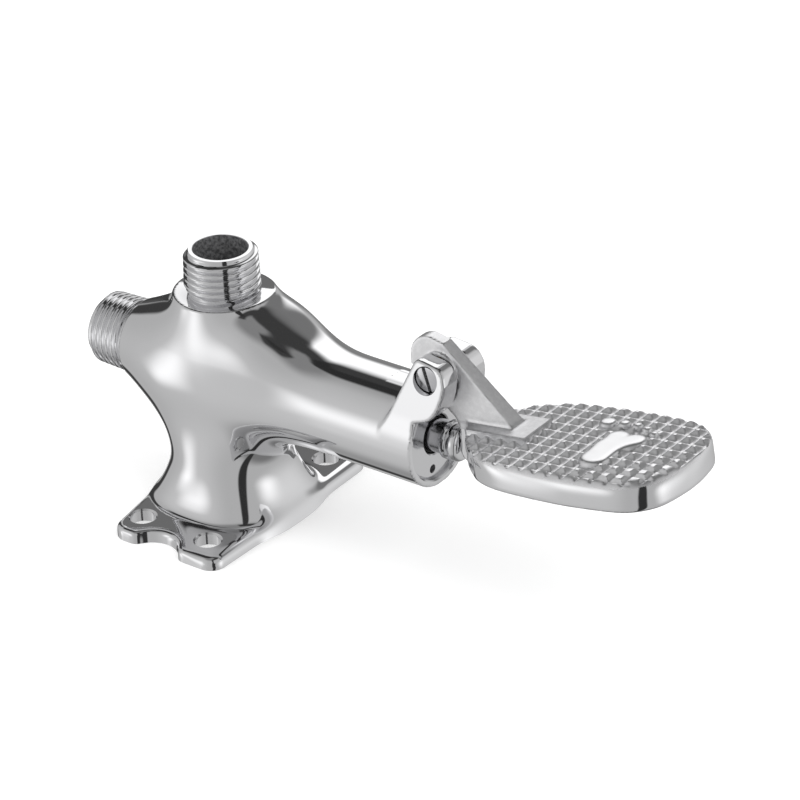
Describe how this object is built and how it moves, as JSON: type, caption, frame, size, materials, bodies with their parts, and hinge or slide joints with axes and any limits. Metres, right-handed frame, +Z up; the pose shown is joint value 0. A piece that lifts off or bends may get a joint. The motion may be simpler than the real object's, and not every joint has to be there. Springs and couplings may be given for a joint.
{
  "type": "pedal flush valve",
  "caption": "Floor-mounted self-closing pedal valve: a hinged foot pedal pushes a sprung plunger, which opens the way from the side inlet to the top outlet.",
  "frame": {"origin": "centre of the four floor screw holes on the base's underside, below the outlet", "axes": "+Z up along the outlet, +X along the barrel from the inlet towards the pedal, +Y across along the pedal's pivot"},
  "size_m": [0.1886, 0.0682, 0.0763],
  "materials": {
    "body_chrome": "polished",
    "pedal_chrome": "satin on the tread and the web, polished round the rim",
    "bright_steel": "polished",
    "spring_steel": "drawn",
    "brass": "machined",
    "rubber": "matt",
    "fibre": "matt"
  },
  "bodies": {
    "housing": {"valve_body": "body_chrome", "valve_seat": "brass", "seat_gasket": "fibre", "guide_disc": "brass", "spring_seat": "bright_steel", "return_spring": "spring_steel", "gland_gasket": "fibre", "gland_nut": "body_chrome", "stem_ring_inner": "rubber", "stem_ring_outer": "rubber", "wiper_ring": "rubber", "pivot_screw": "bright_steel"},
    "plunger": {"spindle": "bright_steel", "disc_washer": "brass", "rubber_disc": "rubber", "disc_holder": "brass", "lock_washer": "spring_steel", "disc_nut": "brass", "spring_collar": "brass", "push_button": "body_chrome"},
    "foot_lever": {"pedal": "pedal_chrome", "pivot_bush": "brass"}
  },
  "joints": [
    {"name": "pedal_hinge", "type": "hinge", "parent": "housing", "child": "foot_lever", "pos_m": [0.0722, 0, 0.062], "axis": [0, 1, 0], "range_deg": [0, 10.6]},
    {"name": "plunger_slide", "type": "slide", "parent": "housing", "child": "plunger", "axis": [-1, 0, 0], "range_m": [0, 0.004], "stiffness_N_per_m": 500, "springref_m": -0.01, "deforming": ["return_spring"]}
  ],
  "couplings": [
    {"joint": "plunger_slide", "follows": "pedal_hinge", "m_per_rad": 0.0215}
  ]
}
